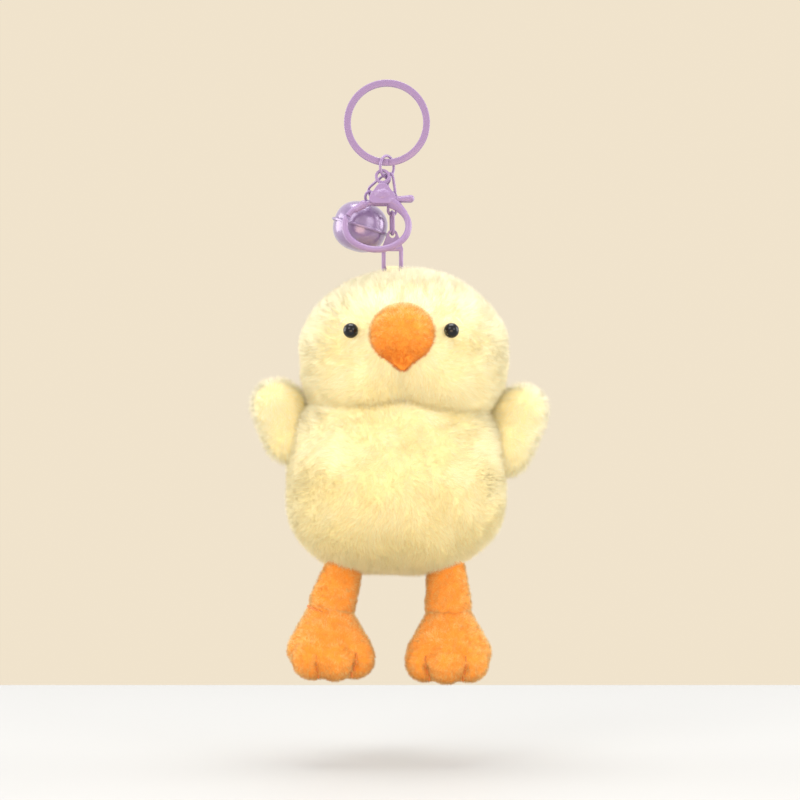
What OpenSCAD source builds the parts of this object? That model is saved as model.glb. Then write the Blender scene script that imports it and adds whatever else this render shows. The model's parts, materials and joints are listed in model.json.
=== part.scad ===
// Plush chick keychain: a split ring, a jump ring, a lobster clasp, a jingle bell, a short chain
// and a bail carry a soft stuffed chick.
// Millimetres, +Z up, the chick faces -Y. The origin is the hang point: the top of the split
// ring's inner wall, where a hook or a peg holds it.

/* [Split ring] */
// Outside diameter of the split ring
ring_od = 30; // [29:0.5:31]
// Radial width of the flat wire
ring_wire_w = 2.4; // [2.2:0.1:2.5]
// Thickness of one turn of the flat wire
ring_wire_t = 1.05; // [0.9:0.05:1.1]
// Gap between the two turns
ring_turn_gap = 0.12; // [0.08:0.02:0.16]
// Angle of the front turn's end, from +X towards +Z
ring_end_angle = -88; // [-95:1:-80]
// Length of the wire's crossing from the front turn to the back one, in degrees
ring_cross_angle = 58; // [40:1:70]

/* [Jump ring and links] */
// Inside diameter of the jump ring on the split ring
jump_id = 6.6; // [6.5:0.1:6.8]
// Turn of the jump ring about the vertical
jump_turn = 52; // [48:1:56]
// Wire diameter of the jump ring, the bell link and the chain
wire_d = 1; // [0.95:0.01:1.02]
// Outside length of a chain link
link_len = 8.9; // [8.7:0.1:9.1]
// Outside width of a chain link
link_w = 4.2; // [4.1:0.1:4.4]
// Free play left between two interlocked wires
link_play = 0.2; // [0.18:0.01:0.22]

/* [Clasp] */
// Outside width of the clasp's oval
clasp_w = 24.4; // [24:0.1:25]
// Outside height of the clasp's oval
clasp_h = 19.6; // [19.2:0.1:20]
// Diameter of the clasp's bar
clasp_bar = 2.3; // [2.2:0.1:2.4]
// Thickness of the clasp's shield
shield_t = 3.4; // [3.2:0.1:3.8]
// Lean of the clasp towards the front
clasp_lean = 17; // [16:1:19]
// Gate opening angle
gate_open = 28; // [20:1:30]

/* [Bell] */
// Diameter of the bell at its shells
bell_d = 19; // [18:0.5:19.5]
// Height of the bell
bell_h = 17.5; // [17:0.1:18]
// Sheet thickness of the bell
bell_wall = 0.5; // [0.4:0.05:0.6]
// Lean of the bell's axis to the right
bell_lean = 17; // [14:1:20]
// Diameter of the pea
pea_d = 3.2; // [3:0.1:3.6]

/* [Chick] */
// Width of the head's cover
head_w = 69; // [66:1:71]
// Width of the body's cover
body_w = 72.5; // [70:0.5:74]
// Thickness of the plush fabric
cover_t = 1.4; // [1.2:0.1:1.8]
// Diameter of an eye bead
eye_d = 4.6; // [4.2:0.1:5]
// Diameter of a leg
leg_d = 15.2; // [14.8:0.1:15.6]
// Diameter of a sewing thread
thread_d = 0.7; // [0.6:0.05:0.8]

/* [Hidden] */
$fn = 48;

lavender = [0.78, 0.68, 0.83];
plush_yellow = [0.97, 0.93, 0.72];
plush_orange = [0.95, 0.56, 0.2];
fibre_white = [0.96, 0.96, 0.94];
thread_gold = [0.85, 0.66, 0.3];
bead_black = [0.03, 0.03, 0.03];

fit = 0.05;        // room between two pieces that lie against each other
wire_r = wire_d / 2;

function unit(v) = v / norm(v);
function lerp(a, b, t) = a + (b - a) * t;
function down(tilt) = [sin(tilt), 0, -cos(tilt)];

// Split ring
ring_r = ring_od / 2;
ring_ir = ring_r - ring_wire_w;
ring_z = -ring_ir;
ring_pitch = ring_wire_t + ring_turn_gap;
ring_steps = 14;

// Jump ring: a circle of wire through the split ring's lowest point
jump_r = (jump_id + wire_d) / 2;
jump_lift = 0.55;
jump_c = [0, 0, -2 * ring_ir + jump_lift - jump_id / 2];
function jump_at(a) = jump_c + jump_r * [sin(a) * cos(jump_turn), sin(a) * sin(jump_turn), -cos(a)];

// Chain: each link hangs on the wire above it
link_c_len = link_len - wire_d;
link_hold = wire_d + link_play;
chain_at = 24;
link_tilts = [8, -1, 1];
link_1_yaw = 136;
link_yaws = [link_1_yaw, 30, 105];
link_from = [
    for (k = 0, w = jump_at(chain_at); k < 3;
         w = w + down(link_tilts[k]) * (link_c_len - link_hold), k = k + 1) w
];
chain_end = link_from[2] + down(link_tilts[2]) * (link_c_len - link_hold);

// Bail: an eye, a shoulder and a closed loop that holds the ribbon
bail_wire = 1.5;
bail_eye_r = 1.05;
bail_eye_or = 1.9;
bail_play = 0.3;
bail_half = 3.05;
bail_shoulder_z = -4.9;
bail_bar_z = -12.3;
bail_c = chain_end + [0, 0, wire_r - bail_eye_r + bail_play];
bar_pos = bail_c + [0, 0, bail_bar_z];

// Clasp: its own frame has the eye's centre at the origin
clasp_at = -41;
clasp_hang = jump_at(clasp_at);
eye_hole_r = 1.7;
eye_or = 2.7;
eye_t = 1;
eye_play = 0.5;
clasp_eye = clasp_hang + [0, 0, wire_r - eye_hole_r + eye_play];
bar_r = clasp_bar / 2;
oval_c = [-2.0, -18.3];
oval_a = clasp_w / 2 - bar_r;
oval_b = clasp_h / 2 - bar_r;
end_r = 7.2;
end_c = oval_a - end_r;
flat_c = (end_c * end_c - pow(oval_b - end_r, 2)) / (2 * (oval_b - end_r));
flat_r = oval_b + flat_c;
join_angle = atan(end_c / flat_c);
shield_w = 9.4;
shield_h = 8;
shield_z = -6.9;
pivot = [0.2, -8.5];
hub_r = 1.7;
rivet_r = 0.6;
gate_t = 1.9;
slot_t = gate_t + 0.3;
gate_bar_r = 0.92;
tip_angle = 150;
lever_end = pivot + [9.6, 0];
lever_r = 0.95;
slot_room = 0.25;
tip_reach = norm(oval_c - [end_c, 0] - pivot
    + (end_r + gate_bar_r) * [cos(tip_angle - 1), sin(tip_angle - 1)]) + 0.2;

// Bell: its own frame has the bell's centre at the origin and its axis along Z
bell_c = [-9.4, 6.4, -48.5];
bell_r = bell_d / 2;
bell_half = bell_h / 2;
crimp_r = bell_r + 0.75;
loop_r = 1.75;
loop_wire = 1;
loop_turn = 36;
loop_z = bell_half + loop_r + loop_wire / 2 + fit;
bell_axis = [sin(bell_lean), 0, cos(bell_lean)];
loop_top = bell_c + bell_axis * (loop_z + loop_r);
bell_at = 2;
bell_wire = jump_at(bell_at);
bell_link_dir = unit(loop_top - bell_wire);
bell_link_top = bell_wire - bell_link_dir * link_hold;
bell_link_low = loop_top + bell_link_dir * (wire_r + loop_wire / 2 + link_play);
bell_link_w = 4.6;
pea_c = [0.6, 0, -bell_half + bell_wall + pea_d / 2 + 1];

// Chick
chick_y = bar_pos[1];
head_c = [5.9, chick_y, -91.1];
head_up = 25.9;
head_low = 40;
body_c = [3.1, chick_y, -140.7];
body_up = 52;
body_low = 26.9;
neck_z = -112.5;
neck_gap = 0.5;
beak_r = 10.6;
beak_c = [5.4, chick_y - 31, -85.6];
beak_len = 16.8;
beak_dip = 50;
eye_left_x = -12.2;
eye_right_x = 22;
eye_z = -84.8;
washer_r = 4.2;
ribbon_w = 4;
ribbon_t = 0.5;
ribbon_r = bail_wire / 2 + 0.3;
ribbon_len = 8;
stuffing_room = 0.15;

wing_left_root = [-34.6, chick_y, -123.4];
wing_left_tip = [-39.6, chick_y, -109.6];
wing_right_root = [42.6, chick_y, -127.4];
wing_right_tip = [48.4, chick_y, -111.6];
wing_root_r = 7.6;
wing_tip_r = 6.8;
wing_room = 0.5;

hip_y = chick_y - 3;
hip_left = [-15.4, hip_y, -169];
hip_right = [20.7, hip_y, -169];
ankle_left = [-19.9, hip_y, -183];
ankle_right = [21.5, hip_y, -184];
leg_r = leg_d / 2;
hip_room = 0.6;
ankle_gap = 0.1;
foot_left_turn = 12;
foot_right_turn = -6;
foot_drop = [0, -4.6, -13];
heel_r = 9.4;
toe_r = 6.2;
toe_out = 9.4;
toe_side = [-7.2, -3.4];
toe_mid = [-9.8, -3.8];

// ---------- shared shapes ----------

module wire_ring(r, wr, gap = 0) {
    rotate_extrude(angle = 360 - gap)
        translate([r, 0]) circle(wr);
}

// A chain link in the XZ plane, centred, long along Z
module oval_link(len, w, wr) {
    r = w / 2 - wr;
    s = len / 2 - w / 2;
    for (side = [-1, 1]) {
        translate([side * r, 0, 0]) cylinder(h = 2 * s + 0.02, r = wr, center = true);
        translate([0, 0, side * s])
            rotate([90, 0, 0]) rotate([0, 0, side > 0 ? 0 : 180])
                rotate_extrude(angle = 180) translate([r, 0]) circle(wr);
    }
}

// Moves a shape whose top hangs at the origin so that z runs along dir and x along side
module frame_at(pos, dir, side) {
    z = unit(dir);
    y = unit(cross(z, side));
    x = cross(y, z);
    multmatrix([
        [x[0], y[0], z[0], pos[0]],
        [x[1], y[1], z[1], pos[1]],
        [x[2], y[2], z[2], pos[2]],
        [0, 0, 0, 1]
    ]) children();
}

module chain_link(k) {
    d = down(link_tilts[k]);
    translate(link_from[k] + d * (link_c_len / 2 - link_hold))
        rotate([0, -link_tilts[k], 0]) rotate([0, 0, link_yaws[k]])
            oval_link(link_len, link_w, wire_r);
}

// Half outline of a soft lobe, from its top to its bottom: r wide, up and low high
function lobe(r, up, low, n_up, n_low) = concat(
    [for (i = [0:1:11]) let (t = 90 - i * 7.5)
        [r * pow(cos(t), 2 / n_up), up * pow(sin(t), 2 / n_up)]],
    [for (i = [0:1:12]) let (t = i * 7.5)
        [r * pow(max(cos(t), 0), 2 / n_low), -low * pow(sin(t), 2 / n_low)]]
);

module soft_lobe(r, up, low, n_up, n_low) {
    rotate_extrude() polygon(concat([[0, up]], lobe(r, up, low, n_up, n_low), [[0, -low]]));
}

// Half outline of a capsule: a ball of radius r1 at the origin, one of r2 at height len
function capsule_outline(r1, r2, len) = let (b = asin((r1 - r2) / len)) concat(
    [[0, -r1]],
    [for (i = [1:8]) let (t = lerp(-90, b, i / 8)) [r1 * cos(t), r1 * sin(t)]],
    [for (i = [0:7]) let (t = lerp(b, 90, i / 8)) [r2 * cos(t), len + r2 * sin(t)]],
    [[0, len + r2]]
);

module capsule(r1, r2, len) {
    rotate_extrude() polygon(capsule_outline(r1, r2, len));
}

module slab(low, high) {
    translate([-60, -60, low]) cube([120, 120, high - low]);
}

// The head's outer shape, drawn in by inset
module head_shape(inset) {
    intersection() {
        translate(head_c)
            soft_lobe(head_w / 2 - inset, head_up - inset, head_low - inset, 2, 2);
        slab(neck_z + neck_gap / 2 + inset, 0);
    }
}

module body_shape(inset) {
    intersection() {
        translate(body_c)
            soft_lobe(body_w / 2 - inset, body_up - inset, body_low - inset, 2, 2.6);
        slab(-200, neck_z - neck_gap / 2 - inset);
    }
}

// The front face of the head at x, z, on its smooth outer shape
function head_front(x, z) = head_c[1] - head_w / 2
    * sqrt(1 - pow((x - head_c[0]) / (head_w / 2), 2) - pow((z - head_c[2]) / head_up, 2));

function eye_pos(x) = [x, head_front(x, eye_z) - 0.2, eye_z];

module beak_shape(inset) {
    r = beak_r - inset;
    tip = beak_len - 1.6 * inset;
    tangent = acos(r / tip);
    translate(beak_c) rotate([beak_dip, 0, 0]) rotate([90, 0, 0])
        rotate_extrude() union() {
            intersection() {
                circle(r);
                translate([0, -r]) square([r, 2 * r]);
            }
            polygon([[0, 0], [r * sin(tangent), r * cos(tangent)], [0.6, tip - 0.8], [0, tip - 0.4]]);
        }
}

// Room in the head's stuffing for the sunk side of the beak
module beak_room() {
    translate(beak_c) rotate([90 + beak_dip, 0, 0])
        capsule(beak_r + 0.2, 0.78 * beak_r, 0.42 * beak_len);
}

module eye_bead(x) {
    color(bead_black) translate(eye_pos(x)) {
        sphere(d = eye_d);
        rotate([-90, 0, 0]) cylinder(h = 6, d = 1.4);
    }
}

module eye_washer(x) {
    color(fibre_white) translate(eye_pos(x) + [0, 4.6, 0]) rotate([-90, 0, 0])
        difference() {
            cylinder(h = 0.8, r = washer_r);
            translate([0, 0, -1]) cylinder(h = 3, d = 1.4 + 2 * fit);
        }
}

// Room in the head for an eye, its shank and its washer
module eye_room(x) {
    translate(eye_pos(x)) {
        sphere(d = eye_d + 2 * fit);
        rotate([-90, 0, 0]) cylinder(h = 7, r = 1.4 / 2 + fit);
        translate([0, 4.6 - fit, 0]) rotate([-90, 0, 0])
            cylinder(h = 0.8 + 2 * fit, r = washer_r + fit);
    }
}

module ribbon_shape(room) {
    r = ribbon_r - room;
    t = ribbon_t + 2 * room;
    w = ribbon_w + 2 * room;
    translate(bar_pos) rotate([0, 0, 90]) rotate([90, 0, 0]) translate([0, 0, -w / 2]) {
        rotate_extrude(angle = 180) translate([r, 0]) square([t, w]);
        for (x = [r, -r - t]) translate([x, -ribbon_len - room, 0]) cube([t, ribbon_len + room, w]);
    }
}

module wing_shape(root, tip, inset) {
    difference() {
        frame_at(root, tip - root, [0, 1, 0])
            capsule(wing_root_r - inset, wing_tip_r - inset, norm(tip - root));
        body_shape(-wing_room - inset);
        head_shape(-wing_room - inset);
    }
}

module leg_shape(hip, ankle, inset) {
    dir = unit(ankle - hip);
    difference() {
        frame_at(hip, dir, [1, 0, 0])
            capsule(leg_r - inset, leg_r - inset, norm(ankle - hip) + leg_r);
        translate(ankle + [-20, -20, inset - 20]) cube([40, 40, 20]);
    }
}

// Centre of toe k (-1, 0 or 1) from the foot's centre, for a foot turned about the vertical
function toe_at(turn, k) = let (s = k == 0 ? toe_mid : toe_side, x = k * toe_out)
    [x * cos(turn) - s[0] * sin(turn), x * sin(turn) + s[0] * cos(turn), s[1]];

module foot_shape(ankle, turn, inset) {
    c = ankle + foot_drop;
    difference() {
        union() {
            translate(c) sphere(r = heel_r - inset);
            frame_at(c, -foot_drop, [1, 0, 0]) cylinder(h = norm(foot_drop), r = leg_r - 0.6 - inset);
            for (k = [-1, 0, 1]) translate(c + toe_at(turn, k)) sphere(r = toe_r - inset);
        }
        translate(ankle + [-20, -20, -ankle_gap - inset]) cube([40, 40, 20]);
    }
}

// Two short rows of thread in the notches between the toes
module toe_rows(ankle, turn, r) {
    c = ankle + foot_drop;
    for (k = [-1, 1]) {
        notch = (toe_at(turn, 0) + toe_at(turn, k)) / 2;
        translate(c + notch * 1.3) cylinder(h = 6, r = r, center = true);
    }
}

// ---------- split ring and jump ring ----------

module ring_turn(side) {
    start = ring_end_angle;
    translate([0, side * ring_pitch / 2, ring_z]) rotate([90, 0, 0])
        rotate([0, 0, start - 360 + ring_cross_angle])
            rotate_extrude(angle = 360 - ring_cross_angle, $fn = 96)
                translate([ring_r - ring_wire_w / 2, 0])
                    square([ring_wire_w, ring_wire_t], center = true);
}

// The wire's slanted run between the two turns
module ring_crossing() {
    over = 1.5;
    corners = [[-1, -1], [1, -1], [1, 1], [-1, 1]];
    steps = ring_steps;
    function sweep_angle(i) = ring_end_angle + lerp(-over, ring_cross_angle + over, i / steps);
    function sweep_y(i) = lerp(0.5, -0.5, 0.5 - 0.5 * cos(180 * i / steps)) * ring_pitch;
    points = [for (i = [0:steps]) for (c = corners)
        let (r = ring_r - ring_wire_w / 2 + c[0] * ring_wire_w / 2, a = sweep_angle(i))
            [r * cos(a), sweep_y(i) + c[1] * ring_wire_t / 2, ring_z + r * sin(a)]];
    faces = concat(
        [[0, 1, 2, 3]],
        [for (i = [0:steps - 1]) for (k = [0:3]) let (n = (k + 1) % 4)
            [4 * i + k, 4 * i + 4 + k, 4 * i + 4 + n, 4 * i + n]],
        [[4 * steps + 3, 4 * steps + 2, 4 * steps + 1, 4 * steps]]
    );
    polyhedron(points, faces);
}

module split_ring() {
    color(lavender) {
        ring_turn(-1);
        ring_turn(1);
        ring_crossing();
    }
}

module top_jump_ring() {
    color(lavender) translate(jump_c) rotate([0, 0, jump_turn]) rotate([90, 0, 0])
        rotate([0, 0, 62]) wire_ring(jump_r, wire_r, 2);
}

// ---------- clasp ----------

// A stretch of the clasp's oval between two angles of one of its four arcs
module oval_arc(centre, r, from, to, wr) {
    translate([centre[0], 0, centre[1]]) rotate([90, 0, 0]) rotate([0, 0, from])
        rotate_extrude(angle = to - from, $fn = 72) translate([r, 0]) circle(wr);
}

// The small knuckle where two arcs of a bar meet
module oval_knuckle(centre, r, angle, wr) {
    translate([centre[0] + r * cos(angle), 0, centre[1] + r * sin(angle)]) sphere(r = wr + 0.04);
}

module place_clasp() {
    translate(clasp_eye) rotate([-clasp_lean, 0, 0]) children();
}

// A flat shape of the clasp's plane, t thick
module plate(t) {
    rotate([90, 0, 0]) translate([0, 0, -t / 2]) linear_extrude(t) children();
}

module shield_outline() {
    hull() {
        translate([0, shield_z + shield_h / 2 - 2.4]) circle(2.4);
        for (x = [-1, 1]) translate([x * (shield_w / 2 - 2), shield_z - shield_h / 2 + 2.4]) circle(2);
    }
}

// The part of the slot that one arm sweeps, between two angles about the pivot
module arm_sweep(from, to, reach) {
    translate(pivot) polygon(concat([[0, 0]],
        [for (i = [0:4]) let (a = lerp(from, to, i / 4)) reach * [cos(a), sin(a)]]));
}

module clasp_slot() {
    plate(slot_t) {
        translate(pivot) circle(hub_r + slot_room);
        arm_sweep(180, 262 + gate_open, 10);
        arm_sweep(-20, gate_open + 32, 9);
        translate(pivot - [0, lever_r + slot_room]) square([3, lever_r + slot_room]);
    }
}

// The room that the gate's tip sweeps past the end of the frame's bar
module tip_room() {
    intersection() {
        plate(clasp_bar + 1) translate(pivot) circle(tip_reach);
        plate(clasp_bar + 2) translate(oval_c - [oval_a + 2, 2]) square([6, 8]);
    }
}

module clasp_frame() {
    left_c = oval_c + [-end_c, 0];
    right_c = oval_c + [end_c, 0];
    color(lavender) place_clasp() difference() {
        union() {
            rotate([90, 0, 0]) rotate_extrude() translate([(eye_hole_r + eye_or) / 2, 0])
                square([eye_or - eye_hole_r, eye_t], center = true);
            translate([-1.1, -eye_t / 2, -4]) cube([2.2, eye_t, 2.2]);
            plate(shield_t) shield_outline();
            oval_arc(oval_c + [0, flat_c], flat_r, -90 - join_angle, -90 + join_angle, bar_r);
            oval_arc(right_c, end_r, -90 + join_angle, 90 - join_angle, bar_r);
            oval_arc(oval_c - [0, flat_c], flat_r, 90 - join_angle, 69, bar_r);
            oval_arc(left_c, end_r, tip_angle + 1.5, 270 - join_angle, bar_r);
            oval_knuckle(right_c, end_r, join_angle - 90, bar_r);
            oval_knuckle(right_c, end_r, 90 - join_angle, bar_r);
            oval_knuckle(left_c, end_r, 270 - join_angle, bar_r);
        }
        clasp_slot();
        tip_room();
        translate([pivot[0], 0, pivot[1]]) rotate([90, 0, 0])
            translate([0, 0, -shield_t]) cylinder(h = shield_t + 1.5, r = rivet_r);
    }
}

module clasp_gate() {
    color(lavender) place_clasp() difference() {
        union() {
            plate(gate_t) translate(pivot) circle(hub_r);
            oval_arc(oval_c - [0, flat_c], flat_r, 83, 90 + join_angle, gate_bar_r);
            oval_arc(oval_c + [-end_c, 0], end_r, 90 + join_angle, tip_angle - 1, gate_bar_r);
            oval_knuckle(oval_c + [-end_c, 0], end_r, 90 + join_angle, gate_bar_r);
            plate(gate_t) hull() {
                translate(pivot + [1, 0]) circle(lever_r);
                translate(lever_end) circle(lever_r);
            }
        }
        translate([pivot[0], 0, pivot[1]]) rotate([90, 0, 0])
            cylinder(h = 10, r = rivet_r + 0.06, center = true);
    }
}

module clasp_rivet() {
    color(lavender) place_clasp() translate([pivot[0], 0, pivot[1]]) rotate([90, 0, 0]) {
        translate([0, 0, -shield_t / 2]) cylinder(h = shield_t / 2 + 1.4, r = rivet_r);
        translate([0, 0, -shield_t / 2 - 0.4]) cylinder(h = 0.4, r = 1.3);
    }
}

// A small arched leaf between the lever and the top of the slot
module clasp_spring() {
    color("silver") place_clasp() translate([3.4, 0, pivot[1] + 1.25]) rotate([90, 0, 0])
        translate([0, 0, -0.6]) rotate_extrude(angle = 180) translate([0.75, 0]) square([0.25, 1.2]);
}

// ---------- bell ----------

module place_bell() {
    translate(bell_c) rotate([0, bell_lean, 0]) children();
}

function dome(r, h) = [for (i = [0:1:12]) let (t = i * 7.5)
    [r * pow(max(cos(t), 0), 0.86), h * pow(sin(t), 0.86)]];

module shell_profile() {
    difference() {
        polygon(concat([[0, 0]], dome(bell_r, bell_half)));
        polygon(concat([[0, 0]], dome(bell_r - bell_wall, bell_half - bell_wall)));
        translate([-1, -1]) square([2 * bell_r, 1 + fit]);
    }
}

module bell_upper_shell() {
    color(lavender) place_bell() difference() {
        union() {
            rotate_extrude() shell_profile();
            rotate_extrude() difference() {
                translate([bell_r - bell_wall, -1]) square([crimp_r - bell_r + bell_wall, 2]);
                translate([0, -1 - fit]) square([bell_r + 0.4, 1 + 2 * fit]);
            }
        }
        cylinder(h = 2 * bell_h, r = loop_wire / 2 + fit);
    }
}

module bell_lower_shell() {
    color(lavender) place_bell() difference() {
        union() {
            mirror([0, 0, 1]) rotate_extrude() shell_profile();
            rotate_extrude() translate([bell_r - bell_wall, -0.7]) square([bell_wall + 0.4 - fit, 0.65]);
        }
        translate([-6, -0.8, -2 * bell_h]) cube([12, 1.6, 2 * bell_h - 4]);
        for (x = [-6, 6]) translate([x, 0, -2 * bell_h]) cylinder(h = 2 * bell_h - 3, r = 1.5);
    }
}

module bell_loop() {
    color(lavender) place_bell() {
        translate([0, 0, loop_z]) rotate([0, 0, loop_turn]) rotate([90, 0, 0])
            wire_ring(loop_r, loop_wire / 2);
        translate([0, 0, bell_half - bell_wall - 0.5]) cylinder(h = bell_wall + 1, r = loop_wire / 2);
        translate([0, 0, bell_half - bell_wall - 0.8]) cylinder(h = 0.6, r = 1.4);
    }
}

module bell_pea() {
    color("silver") place_bell() translate(pea_c) sphere(d = pea_d);
}

module bell_link() {
    color(lavender) frame_at((bell_link_top + bell_link_low) / 2, bell_link_dir, [0, 0, 1])
        oval_link(norm(bell_link_low - bell_link_top) + wire_d, bell_link_w, wire_r);
}

// ---------- chain and bail ----------

module chain_link_1() {
    color(lavender) chain_link(0);
}

module chain_link_2() {
    color(lavender) chain_link(1);
}

module chain_link_3() {
    color(lavender) chain_link(2);
}

module bail() {
    r = bail_wire / 2;
    color(lavender) translate(bail_c) difference() {
        union() {
            plate(1.2) hull() {
                circle(bail_eye_or);
                for (x = [-1, 1]) translate([x * bail_half, bail_shoulder_z]) circle(r);
            }
            for (x = [-bail_half, bail_half]) {
                translate([x, 0, bail_bar_z]) cylinder(h = bail_shoulder_z - bail_bar_z, r = r);
                translate([x, 0, bail_bar_z]) sphere(r = r);
                translate([x, 0, bail_shoulder_z]) sphere(r = r);
            }
            translate([-bail_half, 0, bail_bar_z]) rotate([0, 90, 0]) cylinder(h = 2 * bail_half, r = r);
            translate([-bail_half, 0, bail_shoulder_z]) rotate([0, 90, 0])
                cylinder(h = 2 * bail_half, r = r);
        }
        rotate([90, 0, 0]) cylinder(h = 10, r = bail_eye_r, center = true);
    }
}

// ---------- chick ----------

module hanging_ribbon() {
    color(plush_yellow) ribbon_shape(0);
}

module head_cover() {
    color(plush_yellow) difference() {
        head_shape(0);
        head_shape(cover_t);
        ribbon_shape(fit);
        beak_shape(-fit);
        for (x = [eye_left_x, eye_right_x]) eye_room(x);
    }
}

module head_stuffing() {
    color(fibre_white) difference() {
        head_shape(cover_t + stuffing_room);
        ribbon_shape(fit);
        beak_room();
        for (x = [eye_left_x, eye_right_x]) eye_room(x);
    }
}

module beak_cover() {
    color(plush_orange) difference() {
        beak_shape(0);
        beak_shape(cover_t);
    }
}

module beak_stuffing() {
    color(fibre_white) beak_shape(cover_t + stuffing_room);
}

module eye_left() {
    eye_bead(eye_left_x);
}

module eye_right() {
    eye_bead(eye_right_x);
}

module eye_washer_left() {
    eye_washer(eye_left_x);
}

module eye_washer_right() {
    eye_washer(eye_right_x);
}

module hip_rooms() {
    for (hip = [hip_left, hip_right]) translate(hip) sphere(r = leg_r + hip_room);
}

module body_cover() {
    color(plush_yellow) difference() {
        body_shape(0);
        body_shape(cover_t);
        hip_rooms();
        neck_thread_shape(thread_d / 2 + fit);
    }
}

module body_stuffing() {
    color(fibre_white) difference() {
        body_shape(cover_t + stuffing_room);
        hip_rooms();
    }
}

// A round of thread that draws the neck in
module neck_thread_shape(r) {
    edge = body_w / 2 * sqrt(1 - pow((body_c[2] - neck_z) / body_up, 2));
    translate([body_c[0], body_c[1], neck_z - neck_gap / 2 - 0.6]) wire_ring(edge - 0.1, r);
}

module neck_thread() {
    color(thread_gold) neck_thread_shape(thread_d / 2);
}

module wing_left_cover() {
    color(plush_yellow) difference() {
        wing_shape(wing_left_root, wing_left_tip, 0);
        wing_shape(wing_left_root, wing_left_tip, cover_t);
    }
}

module wing_left_stuffing() {
    color(fibre_white)
        wing_shape(wing_left_root, wing_left_tip, cover_t + stuffing_room);
}

module wing_right_cover() {
    color(plush_yellow) difference() {
        wing_shape(wing_right_root, wing_right_tip, 0);
        wing_shape(wing_right_root, wing_right_tip, cover_t);
    }
}

module wing_right_stuffing() {
    color(fibre_white)
        wing_shape(wing_right_root, wing_right_tip, cover_t + stuffing_room);
}

module leg_cover(hip, ankle) {
    color(plush_orange) difference() {
        leg_shape(hip, ankle, 0);
        leg_shape(hip, ankle, cover_t);
        ankle_ring(ankle, thread_d / 2 + fit);
    }
}

module leg_left_cover() {
    leg_cover(hip_left, ankle_left);
}

module leg_right_cover() {
    leg_cover(hip_right, ankle_right);
}

module leg_left_stuffing() {
    color(fibre_white) leg_shape(hip_left, ankle_left, cover_t + stuffing_room);
}

module leg_right_stuffing() {
    color(fibre_white) leg_shape(hip_right, ankle_right, cover_t + stuffing_room);
}

module foot_cover(ankle, turn) {
    color(plush_orange) difference() {
        foot_shape(ankle, turn, 0);
        foot_shape(ankle, turn, cover_t);
        ankle_ring(ankle, thread_d / 2 + fit);
        toe_rows(ankle, turn, thread_d / 2 + fit);
    }
}

module foot_left_cover() {
    foot_cover(ankle_left, foot_left_turn);
}

module foot_right_cover() {
    foot_cover(ankle_right, foot_right_turn);
}

module foot_left_stuffing() {
    color(fibre_white) foot_shape(ankle_left, foot_left_turn, cover_t + stuffing_room);
}

module foot_right_stuffing() {
    color(fibre_white) foot_shape(ankle_right, foot_right_turn, cover_t + stuffing_room);
}

module ankle_ring(ankle, r) {
    translate(ankle + [0, 0, 0.2]) wire_ring(leg_r - 0.2, r);
}

module ankle_thread_left() {
    color(thread_gold) ankle_ring(ankle_left, thread_d / 2);
}

module ankle_thread_right() {
    color(thread_gold) ankle_ring(ankle_right, thread_d / 2);
}

module toe_stitches_left() {
    color(thread_gold) toe_rows(ankle_left, foot_left_turn, thread_d / 2);
}

module toe_stitches_right() {
    color(thread_gold) toe_rows(ankle_right, foot_right_turn, thread_d / 2);
}

split_ring();
top_jump_ring();
clasp_frame();
clasp_gate();
clasp_rivet();
clasp_spring();
bell_link();
bell_loop();
bell_upper_shell();
bell_lower_shell();
bell_pea();
chain_link_1();
chain_link_2();
chain_link_3();
bail();
hanging_ribbon();
head_cover();
head_stuffing();
beak_cover();
beak_stuffing();
eye_left();
eye_right();
eye_washer_left();
eye_washer_right();
body_cover();
body_stuffing();
neck_thread();
wing_left_cover();
wing_left_stuffing();
wing_right_cover();
wing_right_stuffing();
leg_left_cover();
leg_left_stuffing();
leg_right_cover();
leg_right_stuffing();
foot_left_cover();
foot_left_stuffing();
foot_right_cover();
foot_right_stuffing();
ankle_thread_left();
ankle_thread_right();
toe_stitches_left();
toe_stitches_right();
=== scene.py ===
import json
import math

import bmesh
import bpy
import numpy as np
from mathutils import Matrix, Vector

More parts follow.
